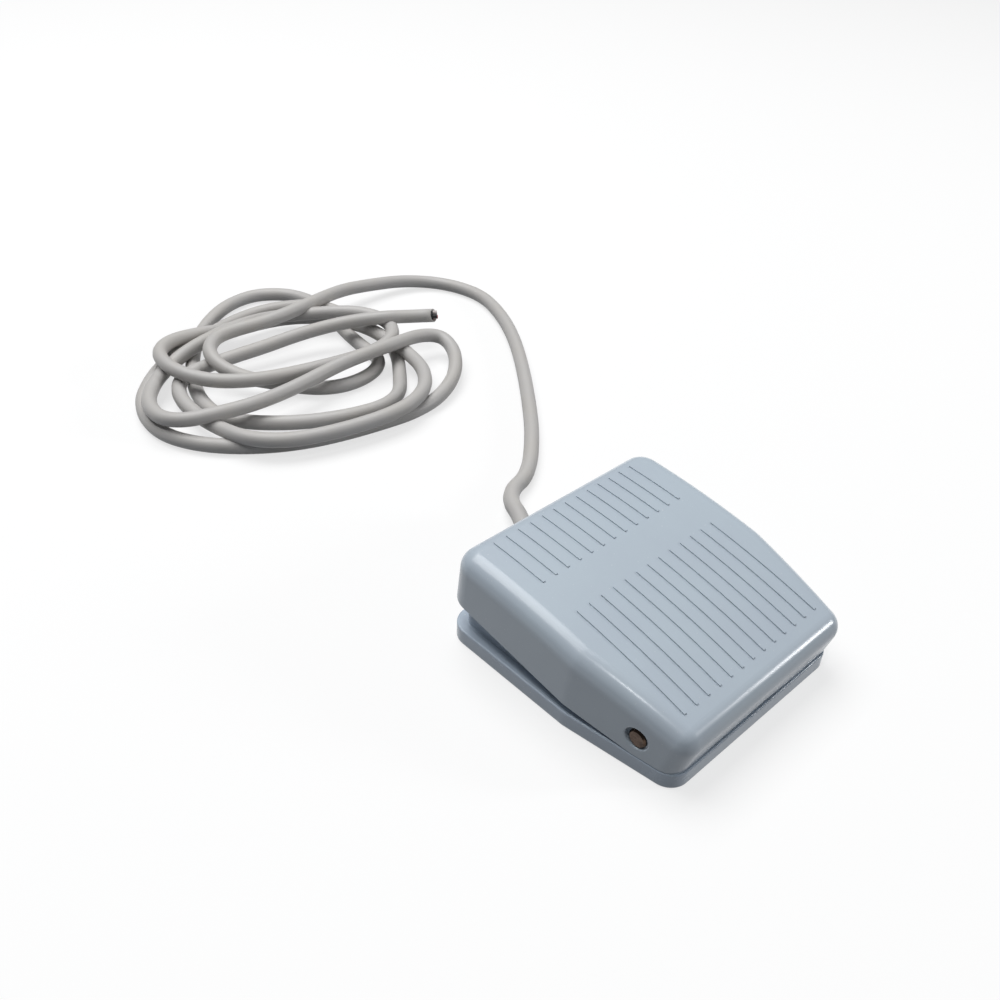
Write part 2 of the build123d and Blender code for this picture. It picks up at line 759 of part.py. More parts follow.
# Cord fittings
with BuildPart() as cord_grommet:
    with BuildSketch(Plane.XZ.offset(-toe_y)):
        with Locations((0, cord_height)):
            Circle(grommet_radius)
    extrude(amount=nose_depth)
    with BuildSketch(Plane.XZ.offset(-toe_y)):
        with Locations((0, cord_height)):
            Circle(grommet_radius + grommet_flange)
    extrude(amount=-grommet_flange_thick)
    fillet(cord_grommet.edges().group_by(Axis.Y)[-1], edge_soft)
    with BuildSketch(Plane.XZ.offset(-toe_y - grommet_flange_thick)):
        with Locations((0, cord_height)):
            Circle(cord_radius)
    extrude(amount=nose_depth + grommet_flange_thick, mode=Mode.SUBTRACT)
cord_grommet.part.label = "cord_grommet"

with BuildPart() as cord_clamp:
    with BuildSketch(Plane.XY.offset(saddle_top + clamp_gap)):
        with Locations((0, clamp_middle)):
            Rectangle(2 * clamp_half_width, clamp_depth)
        with Locations((-clamp_screw_x, clamp_middle), (clamp_screw_x, clamp_middle)):
            Circle(clamp_screw_radius + slot_play, mode=Mode.SUBTRACT)
    extrude(amount=clamp_top - saddle_top - clamp_gap)
    with BuildSketch(Plane.XZ.offset(-clamp_middle - clamp_depth / 2)):
        with Locations((0, cord_height)):
            Circle(cord_radius + sleeve_gap)
    extrude(amount=clamp_depth, mode=Mode.SUBTRACT)
    fillet(cord_clamp.faces().sort_by(Axis.Z)[-1].outer_wire().edges(), edge_soft)
cord_clamp.part.label = "cord_clamp"

with BuildPart() as clamp_screws:
    with BuildSketch(Plane.XY.offset(floor_z)):
        with Locations((-clamp_screw_x, clamp_middle), (clamp_screw_x, clamp_middle)):
            Circle(clamp_screw_radius)
    extrude(amount=clamp_top - floor_z)
    with BuildSketch(Plane.XY.offset(clamp_top)):
        with Locations((-clamp_screw_x, clamp_middle), (clamp_screw_x, clamp_middle)):
            Circle(clamp_head_radius)
    extrude(amount=clamp_head_height)
    fillet(clamp_screws.faces().group_by(Axis.Z)[-1].edges(), edge_soft)
    with BuildSketch(Plane.XY.offset(clamp_top + clamp_head_height - 2 * screw_recess)):
        with Locations((-clamp_screw_x, clamp_middle), (clamp_screw_x, clamp_middle)):
            Rectangle(clamp_head_radius * 1.3, screw_recess)
            Rectangle(screw_recess, clamp_head_radius * 1.3)
    extrude(amount=2 * screw_recess, mode=Mode.SUBTRACT)
clamp_screws.part.label = "clamp_screws"

exit_y = toe_y + grommet_flange_thick
with BuildPart() as cord_entry:
    with BuildSketch(Plane.XZ.offset(-exit_y)):
        with Locations((0, cord_height)):
            Circle(cord_radius)
    extrude(amount=exit_y - sheath_end)
cord_entry.part.label = "cord_entry"


def soft_path(points):
    """Straight runs joined by arcs as large as their runs allow, with the smallest radius printed."""
    spots = [Vector(*point) for point in points]
    radii = []
    for before, corner, after in zip(spots, spots[1:], spots[2:]):
        turn = math.radians((corner - before).get_angle(after - corner))
        shorter = min((corner - before).length, (after - corner).length)
        radii.append(0.45 * shorter / math.tan(turn / 2))
    print("radii", [round(radius, 1) for radius in radii])
    with BuildLine() as path:
        FilletPolyline(*points, radius=radii)
    return path.line


def tube(points, radius):
    """A round tube along a path of points."""
    path = soft_path(points)
    with BuildPart() as piece:
        with BuildSketch(Plane(origin=path @ 0, z_dir=path % 0)):
            Circle(radius)
        sweep(path=path)
    run = sum(edge.length for edge in path.edges())
    print("length", round(run, 1), "volume share", round(piece.part.volume / (math.pi * radius**2 * run), 4))
    return piece


# Leads from the sheath's end round the spring to the terminals
lead_z = case_lift - leg_drop + 1.2
leg_side = strip_width / 2
core_places = [(-core_ring, cord_height - core_ring / 2), (core_ring, cord_height - core_ring / 2), (0, cord_height + core_ring)]
bend_y = sheath_end - sheath_bare
lead_common_points = [
    (core_places[0][0], sheath_end, core_places[0][1]),
    (core_places[0][0], bend_y, core_places[0][1]),
    (-4.6, spring_y + 9.3, 5.0),
    (-8.8, spring_y + 5.5, lead_z),
    (-9.6, spring_y - 0.5, lead_z),
    (-7.2, spring_y - 5.9, lead_z),
    (-2.4, blade_y + 4.1, lead_z),
    (0, blade_y + 2.3, lead_z),
    (0, blade_y + strip_thick / 2, lead_z),
]
lead_open_points = [
    (core_places[1][0], sheath_end, core_places[1][1]),
    (core_places[1][0], bend_y, core_places[1][1]),
    (4.6, spring_y + 9.3, 5.0),
    (8.8, spring_y + 5.5, lead_z),
    (9.6, spring_y - 0.5, lead_z),
    (7.6, spring_y - 6.3, lead_z),
    (5.2, case_y + 7.9, lead_z),
    (4.6, case_y + 3.3, lead_z),
    (3.0, case_y, lead_z),
    (leg_side, case_y, lead_z),
]
lead_rest_points = [
    (core_places[2][0], sheath_end, core_places[2][1]),
    (core_places[2][0], bend_y, core_places[2][1]),
    (4.0, spring_y + 10.1, 7.0),
    (10.0, spring_y + 7.1, 6.2),
    (11.8, spring_y - 0.3, 5.6),
    (10.4, case_y + 11.5, 5.0),
    (8.0, case_y + 3.5, lead_z),
    (6.6, case_y - 2.5, lead_z),
    (3.2, case_y - leg_pitch, lead_z),
    (leg_side, case_y - leg_pitch, lead_z),
]
lead_common = tube(lead_common_points, core_radius)
lead_open = tube(lead_open_points, core_radius)
lead_rest = tube(lead_rest_points, core_radius)
lead_common.part.label = "lead_common"
lead_open.part.label = "lead_open"
lead_rest.part.label = "lead_rest"

# Free cord: out of the grommet, down to the floor and round to the pile
cord_points = [
    (0.0, exit_y, cord_height),
    (0.0, exit_y + 4.5, cord_height),
    (6.4, 57.4, 5.6),
    (14.4, 67.6, 4.2),
    (22.4, 76.4, 2.8),
    (33.0, 81.6, 2.8),
    (43.0, 89.6, 2.8),
    (52.5, 99.5, 2.8),
    (64.6, 113.4, 2.8),
    (77.0, 128.6, 2.8),
    (89.0, 144.6, 2.8),
    (98.6, 159.2, 2.8),
    (106.4, 174.4, 2.8),
    (111.8, 190.4, 2.8),
    (110.6, 204.6, 2.8),
    (104.2, 218.0, 2.8),
    (93.0, 228.6, 2.8),
    (78.0, 234.2, 3.0),
    (62.0, 232.0, 4.6),
    (48.0, 226.6, 6.0),
]
cord_lead = tube(cord_points, cord_radius)
cord_lead.part.label = "cord_lead"

# The loose pile of turns, as one flat ring of its outer shape
pile_height = 9.0
pile_outer = [
    (-57, 186),
    (-51, 164),
    (-28, 146),
    (6, 133),
    (42, 133),
    (66, 146),
    (74, 168),
    (62, 192),
    (54, 216),
    (49, 244),
    (31, 264),
    (10, 258),
    (-12, 240),
    (-40, 226),
    (-53, 210),
]
pile_inner = [(2, 184), (26, 180), (43, 185), (42, 205), (30, 214), (8, 214), (-3, 202)]
with BuildPart() as cord_coil:
    with BuildSketch(Plane.XY) as pile:
        with BuildLine():
            Polyline(*pile_outer, close=True)
        make_face()
        fillet(pile.vertices(), cord_diameter)
    extrude(amount=pile_height)
    with BuildSketch(Plane.XY) as pile_hole:
        with BuildLine():
            Polyline(*pile_inner, close=True)
        make_face()
        fillet(pile_hole.vertices(), cord_radius)
    extrude(amount=pile_height, mode=Mode.SUBTRACT)
    chamfer(cord_coil.faces().sort_by(Axis.Z)[-1].outer_wire().edges(), cord_radius)
cord_coil.part.label = "cord_coil"

tail_points = [
    (-20.0, 208.6, 5.2),
    (-9.6, 204.6, 8.6),
    (1.2, 199.8, 11.6),
    (13.6, 197.4, 13.2),
    (26.4, 195.2, 13.4),
    (39.4, 192.4, 13.2),
    (52.0, 188.4, 12.6),
    (61.6, 184.0, 12.2),
    (70.4, 178.6, 12.0),
]
cord_tail = tube(tail_points, cord_radius)
cord_tail.part.label = "cord_tail"

# Cut end: three cores stand a little out of the sheath
tail_end = Vector(*tail_points[-1])
tail_way = (tail_end - Vector(*tail_points[-2])).normalized()
end_plane = Plane(origin=tail_end, x_dir=(0, 0, 1), z_dir=tail_way)


def core(angle, length):
    """One core standing out of the cut end."""
    with BuildPart() as piece:
        with BuildSketch(end_plane):
            with PolarLocations(core_ring, 1, start_angle=angle):
                Circle(core_radius)
        extrude(amount=length)
    return piece


core_red = core(210, 2.4)
core_black = core(90, 1.8)
core_white = core(330, 2.0)
core_red.part.label = "core_red"
core_black.part.label = "core_black"
core_white.part.label = "core_white"

os.makedirs("parts", exist_ok=True)
export_step(base.part, "parts/base.step")
export_step(rubber_feet.part, "parts/rubber_feet.step")
export_step(stop_bumpers.part, "parts/stop_bumpers.step")
export_step(pedal.part, "parts/pedal.step")
export_step(pivot_pin.part, "parts/pivot_pin.step")
export_step(pin_clips.part, "parts/pin_clips.step")
export_step(return_spring.part, "parts/return_spring.step")
export_step(switch_case.part, "parts/switch_case.step")
export_step(switch_cover.part, "parts/switch_cover.step")
export_step(switch_screws.part, "parts/switch_screws.step")
export_step(switch_button.part, "parts/switch_button.step")
export_step(switch_lever.part, "parts/switch_lever.step")
export_step(lever_pin.part, "parts/lever_pin.step")
export_step(contact_blade.part, "parts/contact_blade.step")
export_step(terminal_common.part, "parts/terminal_common.step")
export_step(terminal_open.part, "parts/terminal_open.step")
export_step(terminal_rest.part, "parts/terminal_rest.step")
export_step(cord_grommet.part, "parts/cord_grommet.step")
export_step(cord_clamp.part, "parts/cord_clamp.step")
export_step(clamp_screws.part, "parts/clamp_screws.step")
export_step(cord_entry.part, "parts/cord_entry.step")
export_step(lead_common.part, "parts/lead_common.step")
export_step(lead_open.part, "parts/lead_open.step")
export_step(lead_rest.part, "parts/lead_rest.step")
export_step(cord_lead.part, "parts/cord_lead.step")
export_step(cord_coil.part, "parts/cord_coil.step")
export_step(cord_tail.part, "parts/cord_tail.step")
export_step(core_red.part, "parts/core_red.step")
export_step(core_black.part, "parts/core_black.step")
export_step(core_white.part, "parts/core_white.step")
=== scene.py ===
import bpy
import bmesh
import math
import numpy as np
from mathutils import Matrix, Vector


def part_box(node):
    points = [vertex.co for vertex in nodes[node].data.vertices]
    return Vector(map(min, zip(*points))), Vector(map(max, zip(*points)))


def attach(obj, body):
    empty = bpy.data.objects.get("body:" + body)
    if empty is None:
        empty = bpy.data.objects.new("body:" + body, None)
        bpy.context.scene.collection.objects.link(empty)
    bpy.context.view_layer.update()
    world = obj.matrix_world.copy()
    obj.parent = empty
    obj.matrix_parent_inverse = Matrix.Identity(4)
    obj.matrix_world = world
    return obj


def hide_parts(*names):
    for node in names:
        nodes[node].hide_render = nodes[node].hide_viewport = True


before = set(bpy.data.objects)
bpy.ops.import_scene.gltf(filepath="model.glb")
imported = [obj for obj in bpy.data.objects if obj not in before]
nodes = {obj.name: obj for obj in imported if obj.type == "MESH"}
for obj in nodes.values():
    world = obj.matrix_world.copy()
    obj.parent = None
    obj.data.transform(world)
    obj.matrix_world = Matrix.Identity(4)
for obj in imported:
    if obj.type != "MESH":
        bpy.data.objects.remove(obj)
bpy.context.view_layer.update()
mm = 0.001  # the lists of places below are written in millimetres

# Camera

cameraSetup = {
    "place": (-0.17977, -0.12086, 0.21142),
    "turnDegrees": (52.6923, -2.0516, -43.0455),
    "lens": 36.5455,
    "sensor": 36.0,
    "clipStart": 0.01,
    "clipEnd": 20.0,
}


def makeCamera(setup):
    data = bpy.data.cameras.new("camera")
    data.lens = setup["lens"]
    data.sensor_width = setup["sensor"]
    data.clip_start = setup["clipStart"]
    data.clip_end = setup["clipEnd"]
    camera = bpy.data.objects.new("camera", data)
    camera.location = setup["place"]
    camera.rotation_euler = [math.radians(a) for a in setup["turnDegrees"]]
    bpy.context.scene.collection.objects.link(camera)
    bpy.context.scene.camera = camera


makeCamera(cameraSetup)
print("camera placed")

# Cord: along the floor from the toe, then a loose pile of turns that ends in a cut end

cordSetup = {
    "exit": (0, 42.5, 6.2),
    "diameter": 5.6,
    "end": (70.4, 178.6, 12),
    "length": 1.875,  # in metres
    "clear": 5.75,  # from one turn's middle to the next where they cross
    "level": 0.3,  # turns nearer in height than this stay in the order they were laid
    "neighbours": 12,  # samples along the cord that never push each other
    "passes": 260,
    "pull": 0.03,
    "stiffness": 0.22,
    "gain": 0.35,
    "heldAtStart": 18,
    "heldAtEnd": 2,
    "perSpan": (0.0, 0.34, 0.67),
    # each row: a stretch of one turn, by its points, that lies over a stretch of another
    "above": [
        ("firstTurn", 2, 9, "tail", 0, 5), ("firstTurn", 2, 8, "lastTurn", 8, 12),
        ("firstTurn", 1, 6, "innerTurn", 10, 14), ("firstTurn", 4, 9, "upperTurn", 9, 13),
    ],
    "lead": [
        (0, 42.5, 6.2), (0, 47, 6.2), (5, 54.6, 6), (9.6, 61.6, 5.4), (13, 69.5, 4.4),
        (19.5, 75.4, 3.4), (27.5, 77.6, 2.9), (36, 83.4, 2.8), (44.5, 91.3, 2.8),
        (53.5, 100.5, 2.8), (64.6, 113.4, 2.8), (77, 128.6, 2.8), (89, 144.6, 2.8),
        (98.6, 159.2, 2.8), (106.4, 174.4, 2.8), (111.8, 190.4, 2.8), (110.6, 204.6, 2.8),
        (104.2, 218, 2.8), (93, 228.6, 2.8), (78, 234.2, 3), (62, 232, 6.2),
    ],
    # the first turn lies on top at its start, then drops to the floor in the middle of the pile
    "firstTurn": [
        (43.5, 225, 9.5), (27, 220.7, 10.6), (13.4, 221, 10.1), (2.5, 223.5, 9.6), (-6.1, 224.1, 9),
        (-12.6, 219.6, 8.4), (-15.1, 213.7, 7.3), (-14.1, 207.8, 4.5), (-9.9, 198, 2.8),
        (-3, 187.3, 2.8), (3.9, 176.7, 2.8), (12.2, 169.8, 2.8), (22.2, 167.5, 2.8),
        (33.2, 169.6, 2.8), (40.4, 176.3, 2.8), (40.9, 187.2, 2.8), (42.8, 202.2, 2.8),
        (47.2, 220, 2.8), (49, 234.8, 2.8), (46.4, 245.9, 2.8), (40.2, 253.5, 2.8),
        (30.9, 258.5, 2.8), (18.1, 257.2, 2.8), (5.5, 250.2, 2.8), (-7, 239.3, 2.8),
    ],
    "secondTurn": [
        (-16.7, 226.4, 2.8), (-24.6, 213.2, 2.8), (-29.9, 200.8, 2.8), (-32.5, 188.8, 2.8),
        (-32.5, 175.7, 3.9), (-27, 163, 6.2), (-17.7, 154.1, 6.7), (-6.8, 147.7, 6.7),
        (4.8, 143.3, 6.7), (15.9, 141.3, 6.7), (26.7, 145.9, 5.6), (36.5, 158.2, 3.9),
        (47.1, 172.9, 2.8), (52.5, 185.1, 2.8), (53.3, 197.1, 2.8), (50.6, 208.4, 3.9),
        (49.4, 219.9, 5), (43.8, 229.2, 5.6), (33, 234, 6.2), (20.8, 236.3, 6.7), (7.4, 235.3, 6.7),
    ],
    "outerTurn": [
        (-6.2, 231.5, 6.7), (-18.6, 227.4, 6.7), (-30.5, 222.7, 6.2), (-40.5, 216.6, 4.5),
        (-49, 208.1, 2.8), (-53.9, 194, 2.8), (-53.5, 180.7, 2.8), (-47.9, 169.3, 2.8),
        (-39.2, 159.4, 2.8), (-28, 150.9, 2.8), (-15.2, 144.4, 2.8), (-1.2, 140.3, 2.8),
        (12.8, 137.5, 2.8), (25.8, 135.7, 2.8), (40.1, 137.9, 2.8), (55.2, 146.3, 2.8),
        (67.2, 159.5, 3.4), (69.9, 171, 5.6), (59, 172.9, 9), (43.9, 169.7, 11.8),
        (28.4, 167.9, 13.4),
    ],
    "upperTurn": [
        (13.9, 167.6, 13.4), (-1.3, 165.8, 12.9), (-14.9, 165.2, 12.3), (-27, 166.5, 11.8),
        (-37.7, 170.8, 10.6), (-48.3, 175.8, 9.5), (-53.4, 184.9, 8.4), (-51.1, 197.5, 7.8),
        (-43.9, 207.3, 7.8), (-34.1, 214.5, 8.4), (-22, 220.7, 9), (-7.7, 225.1, 9),
        (7, 228, 8.4), (21.7, 228.2, 7.3), (32.6, 221.8, 7.3), (42.9, 214.2, 8.4),
        (50.9, 204.8, 9.5), (54.8, 193.1, 10.1), (52.6, 182.2, 10.1), (46.3, 176.9, 8.4),
    ],
    "innerTurn": [
        (35, 175.5, 7.8), (21.4, 177.2, 7.8), (7.5, 179.2, 8.4), (-5.4, 181.7, 9),
        (-16.9, 186, 9.5), (-27, 191.9, 10.6), (-33.4, 202.7, 11.2), (-34.8, 214.7, 11.2),
        (-31.3, 225.4, 10.6), (-22.4, 232.7, 9), (-12.4, 233.3, 8), (-1.5, 231.4, 7),
        (8.5, 225.9, 7.8), (24.5, 225, 6.7), (37.1, 217.2, 6.7), (44.8, 206.1, 6.7),
        (48.7, 193.6, 6.7), (49.3, 180.8, 6.2), (49.3, 169, 5.6), (47.3, 156.3, 4.5),
    ],
    "lastTurn": [
        (39.5, 145.7, 3.9), (28.3, 139.4, 4.5), (15, 135.9, 6.2), (-0.1, 135.4, 7.8),
        (-14.8, 138.1, 8.4), (-27.1, 143.5, 8.4), (-35.7, 153.4, 7.8), (-38.7, 167.6, 6.2),
        (-39.3, 183.8, 4.5), (-37.9, 198.4, 3.9), (-33, 208.5, 4.5), (-26.5, 210.5, 5.6),
    ],
    "tail": [
        (-20, 208.6, 7.2), (-9.6, 204.6, 9.6), (1.2, 199.8, 12), (13.6, 197.4, 13.6),
        (26.4, 195.2, 14.2), (39.4, 192.4, 14), (52, 188.4, 13.2), (61.6, 184, 12.2),
        (67.7, 180.26, 12.06),
    ],
}
legNames = ("lead", "firstTurn", "secondTurn", "outerTurn", "upperTurn", "innerTurn", "lastTurn", "tail")


def splineWeights(count, perSpan):
    # how much each control point counts at a few places along every span
    rows = []
    for i in range(1, count - 1):
        for t in perSpan:
            row = np.zeros(count)
            row[i - 1] = (1 - t) ** 2 / 2
            row[i] = 0.5 + t - t * t
            row[i + 1] = t * t / 2
            rows.append(row)
    return np.array(rows)


def samplesOf(setup, leg, start, end):
    # the samples along a stretch of one leg of the route
    before = sum(len(setup[name]) for name in legNames[:legNames.index(leg)])
    each = len(setup["perSpan"])
    return np.arange(each * (before + start - 1), each * (before + end - 1))


def settleCord(points, setup, eye):
    # the turn that was laid higher stays on top and is lifted until both have room
    route = np.array(points, float)
    first = route.copy()
    weights = splineWeights(len(route), setup["perSpan"])
    spread = weights.T / weights.sum(0)[:, None].clip(0.2)
    line = weights @ route
    order = np.arange(len(line))
    later = np.sign(order[:, None] - order[None])
    gap = line[:, 2][:, None] - line[:, 2][None]
    over = np.where(np.abs(gap) > setup["level"], np.sign(gap), later)
    for upper, upperStart, upperEnd, lower, lowerStart, lowerEnd in setup["above"]:
        upperSamples = samplesOf(setup, upper, upperStart, upperEnd)
        lowerSamples = samplesOf(setup, lower, lowerStart, lowerEnd)
        over[np.ix_(upperSamples, lowerSamples)] = 1
        over[np.ix_(lowerSamples, upperSamples)] = -1
    apart = np.abs(order[:, None] - order[None]) > setup["neighbours"]
    lowest = setup["diameter"] / 2
    free = np.zeros(len(route), bool)
    free[setup["heldAtStart"]:len(route) - setup["heldAtEnd"]] = True
    for step in range(setup["passes"]):
        line = weights @ route
        dx = line[:, 0][:, None] - line[:, 0][None]
        dy = line[:, 1][:, None] - line[:, 1][None]
        dz = line[:, 2][:, None] - line[:, 2][None]
        need = np.sqrt(np.clip(setup["clear"] ** 2 - dx * dx - dy * dy, 0, None))
        short = np.where(apart & (need > 0), need - over * dz, 0).clip(0)
        push = short * over
        lift = push.max(1) + push.min(1)
        height = route[:, 2].copy()
        bent = height.copy()
        bent[1:-1] += setup["stiffness"] * ((height[:-2] + height[2:]) / 2 - height[1:-1])
        bent += setup["gain"] * (spread @ lift) - setup["pull"]
        route[free, 2] = bent[free].clip(lowest)
        # each point slides along the line of sight, so the pile keeps its outline
        share = (eye[2] - route[:, 2]) / (eye[2] - first[:, 2])
        for axis in (0, 1):
            seen = eye[axis] + (first[:, axis] - eye[axis]) * share
            route[free, axis] = seen[free]
    print("cord settled, top at", round(float(route[:, 2].max()), 1), "mm")
    return route


def makeCord(name, points, diameter):
    data = bpy.data.curves.new(name, "CURVE")
    data.dimensions = "3D"
    spline = data.splines.new("NURBS")
    spline.points.add(len(points) - 1)
    for spot, place in zip(spline.points, points):
        spot.co = (*(float(c) * mm for c in place), 1)
        spot.radius = diameter / 2 * mm
    spline.order_u = 3
    spline.use_endpoint_u = True
    spline.resolution_u = 7
    data.bevel_depth = 1.0
    data.bevel_resolution = 5
    data.use_fill_caps = True
    cord = bpy.data.objects.new(name, data)
    bpy.context.scene.collection.objects.link(cord)
    return cord


sightPoint = [c / mm for c in cameraSetup["place"]]
cordPoints = [place for leg in legNames for place in cordSetup[leg]]
cordRoute = settleCord(cordPoints, cordSetup, sightPoint)
cord = makeCord("cord", cordRoute, cordSetup["diameter"])

# Cut end: the sheath was cut at a slant, and its cores show in the opening; a dark disc across the
# opening is painted shade for the hollow inside

cutSetup = {
    "shortSide": (-0.60, -0.60, 0.52),
    "slant": 33.0,
    "near": -1.3,  # the rim's short side, along the cord from its end
    "back": 3.4,
    "wall": 0.6,
    "soft": 0.14,
    "sides": 56,
    "shadeFront": 0.06,
    "pip": 0.05,  # the painted-shade disc's middle stays open by this much
    "sharpAbove": 42.0,
}


def turned(name, profile, setup, start, way):
    # turns a closed profile of (radius, distance, leans with the cut) round the line from start
    mesh = bpy.data.meshes.new(name)
    work = bmesh.new()
    side = Vector(setup["shortSide"])
    side = (side - way * side.dot(way)).normalized()
    up = way.cross(side)
    slope = math.tan(math.radians(setup["slant"]))
    widest = max(radius for radius, distance, leans in profile)
    rings = []
    for radius, distance, leans in profile:
        ring = []
        for i in range(setup["sides"]):
            turn = math.tau * i / setup["sides"]
            ahead = distance
            if leans:
                ahead = ahead + slope * (widest - radius * math.cos(turn))
            spot = start + way * ahead * mm
            spot = spot + (side * math.cos(turn) + up * math.sin(turn)) * radius * mm
            ring.append(work.verts.new(spot))
        rings.append(ring)
    for inner, outer in zip(rings, rings[1:] + rings[:1]):
        for i in range(setup["sides"]):
            j = (i + 1) % setup["sides"]
            work.faces.new((inner[i], inner[j], outer[j], outer[i]))
    bmesh.ops.recalc_face_normals(work, faces=work.faces)
    work.to_mesh(mesh)
    work.free()
    for face in mesh.polygons:
        face.use_smooth = True
    mesh.set_sharp_from_angle(angle=math.radians(setup["sharpAbove"]))
    piece = bpy.data.objects.new(name, mesh)
    bpy.context.scene.collection.objects.link(piece)
    return piece


cutPlace = Vector(cordSetup["end"]) * mm
cutWay = (Vector(cordSetup["end"]) - Vector(cordSetup["tail"][-2])).normalized()
sheathRadius = cordSetup["diameter"] / 2
boreRadius = sheathRadius - cutSetup["wall"]
rimProfile = [
    (sheathRadius, -cutSetup["back"], False),
    (sheathRadius, cutSetup["near"] - cutSetup["soft"], True),
    (sheathRadius - cutSetup["soft"], cutSetup["near"], True),
    (boreRadius + cutSetup["soft"], cutSetup["near"], True),
    (boreRadius, cutSetup["near"] - cutSetup["soft"], True),
    (boreRadius, -cutSetup["back"], False),
]
sheathRim = turned("sheath_rim", rimProfile, cutSetup, cutPlace, cutWay)
# a dark disc across the bore: painted shade that stands in for the shaded hollow inside the cut end
holeShadeProfile = [
    (boreRadius, -cutSetup["back"], False),
    (boreRadius, cutSetup["shadeFront"], False),
    (cutSetup["pip"], cutSetup["shadeFront"], False),
    (cutSetup["pip"], -cutSetup["back"], False),
]
cordHoleShade = turned("cord_hole_shade", holeShadeProfile, cutSetup, cutPlace, cutWay)

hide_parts("cord_lead", "cord_coil", "cord_tail")
for piece, slotName in ((cord, "cord_sheath"), (sheathRim, "cord_sheath"), (cordHoleShade, "foot_rubber")):
    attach(piece, "base")
print("cord laid")

# Finishes


class Wire:
    # an output socket that can stand in a sum

    def __init__(self, finish, socket):
        self.finish = finish
        self.socket = socket

    def maths(self, operation, first, second):
        settings = {"operation": operation}
        return self.finish.node("ShaderNodeMath", settings, {0: first, 1: second})

    def __add__(self, other):
        return self.maths("ADD", self, other)

    def __radd__(self, other):
        return self.maths("ADD", other, self)

    def __sub__(self, other):
        return self.maths("SUBTRACT", self, other)

    def __rsub__(self, other):
        return self.maths("SUBTRACT", other, self)

    def __mul__(self, other):
        return self.maths("MULTIPLY", self, other)

    def __rmul__(self, other):
        return self.maths("MULTIPLY", other, self)

    def __pow__(self, other):
        return self.maths("POWER", self, other)


class Finish:
    # a material whose nodes are made from plain calls and sums

    def __init__(self, name, **constants):
        self.material = bpy.data.materials.new(name)
        self.material.use_nodes = True
        self.nodes = self.material.node_tree.nodes
        self.links = self.material.node_tree.links
        self.shader = self.nodes["Principled BSDF"]
        for socketName, value in constants.items():
            self.shader.inputs[socketName.replace("_", " ")].default_value = value
        self.place = self.node("ShaderNodeTexCoord", {}, {}, "Object")

    def node(self, kind, settings, inputs, output=0):
        made = self.nodes.new(kind)
        for key, value in settings.items():
            setattr(made, key, value)
        for key, value in inputs.items():
            self.feed(made.inputs[key], value)
        return Wire(self, made.outputs[output])

    def feed(self, socket, value):
        if isinstance(value, Wire):
            self.links.new(value.socket, socket)
        else:
            socket.default_value = value

    def noise(self, perMetre, detail=3.0, roughness=0.5, along=None):
        inputs = {"Scale": perMetre, "Detail": detail, "Roughness": roughness}
        return self.node("ShaderNodeTexNoise", {}, {"Vector": along or self.place, **inputs})

    def stretched(self, scale):
        return self.node("ShaderNodeMapping", {}, {"Vector": self.place, "Scale": scale})

    def ramp(self, value, low, high):
        # 0 below low, 1 above high, and a soft step between
        inputs = {"Value": value, "From Min": low, "From Max": high, "To Min": 0.0, "To Max": 1.0}
        return self.node("ShaderNodeMapRange", {"interpolation_type": "SMOOTHSTEP"}, inputs)

    def blend(self, share, first, second):
        inputs = {0: share, 6: first, 7: second}  # 6 and 7 are the node's two colours
        return self.node("ShaderNodeMix", {"data_type": "RGBA"}, inputs, 2)

    def parts(self, vector):
        return [self.node("ShaderNodeSeparateXYZ", {}, {"Vector": vector}, i) for i in range(3)]

    def set(self, socketName, value):
        self.feed(self.shader.inputs[socketName], value)

    def bump(self, height, strength, depth):
        inputs = {"Height": height, "Strength": strength, "Distance": depth}
        self.set("Normal", self.node("ShaderNodeBump", {}, inputs))


def srgb(red, green, blue):
    # a colour as eyes read it, from 0 to 255, turned into light
    def light(value):
        share = value / 255
        return share / 12.92 if share <= 0.04045 else ((share + 0.055) / 1.055) ** 2.4

    return (light(red), light(green), light(blue), 1.0)


skinDepth = 0.00012  # the height of bumps on plastic and rubber, in metres
dustColour = srgb(214, 214, 210)
plasticGrain = {"flow": 38, "haze": 75, "speck": 1500, "peel": 420, "finePeel": 2600}

plasticSetup = {
    "pedal_plastic": {
        "colour": srgb(184, 196, 206), "deep": srgb(181, 192, 203), "roughness": 0.23,
        "haze": 0.035, "peel": 0.03, "speck": 0.25,
    },
    "base_plastic": {
        "colour": srgb(182, 195, 209), "deep": srgb(177, 190, 204), "roughness": 0.24,
        "haze": 0.05, "peel": 0.12, "speck": 0.5,
    },
    "switch_plastic": {
        "colour": srgb(34, 35, 38), "deep": srgb(26, 27, 30), "roughness": 0.42,
        "haze": 0.10, "peel": 0.3, "speck": 0.3,
    },
    "switch_cover_plastic": {
        "colour": srgb(42, 43, 46), "deep": srgb(32, 33, 36), "roughness": 0.4,
        "haze": 0.10, "peel": 0.3, "speck": 0.3,
    },
    "button_plastic": {
        "colour": srgb(186, 52, 44), "deep": srgb(170, 44, 38), "roughness": 0.3,
        "haze": 0.08, "peel": 0.15, "speck": 0.2,
    },
    "clamp_plastic": {
        "colour": srgb(198, 196, 188), "deep": srgb(186, 184, 176), "roughness": 0.45,
        "haze": 0.10, "peel": 0.3, "speck": 0.3,
    },
}


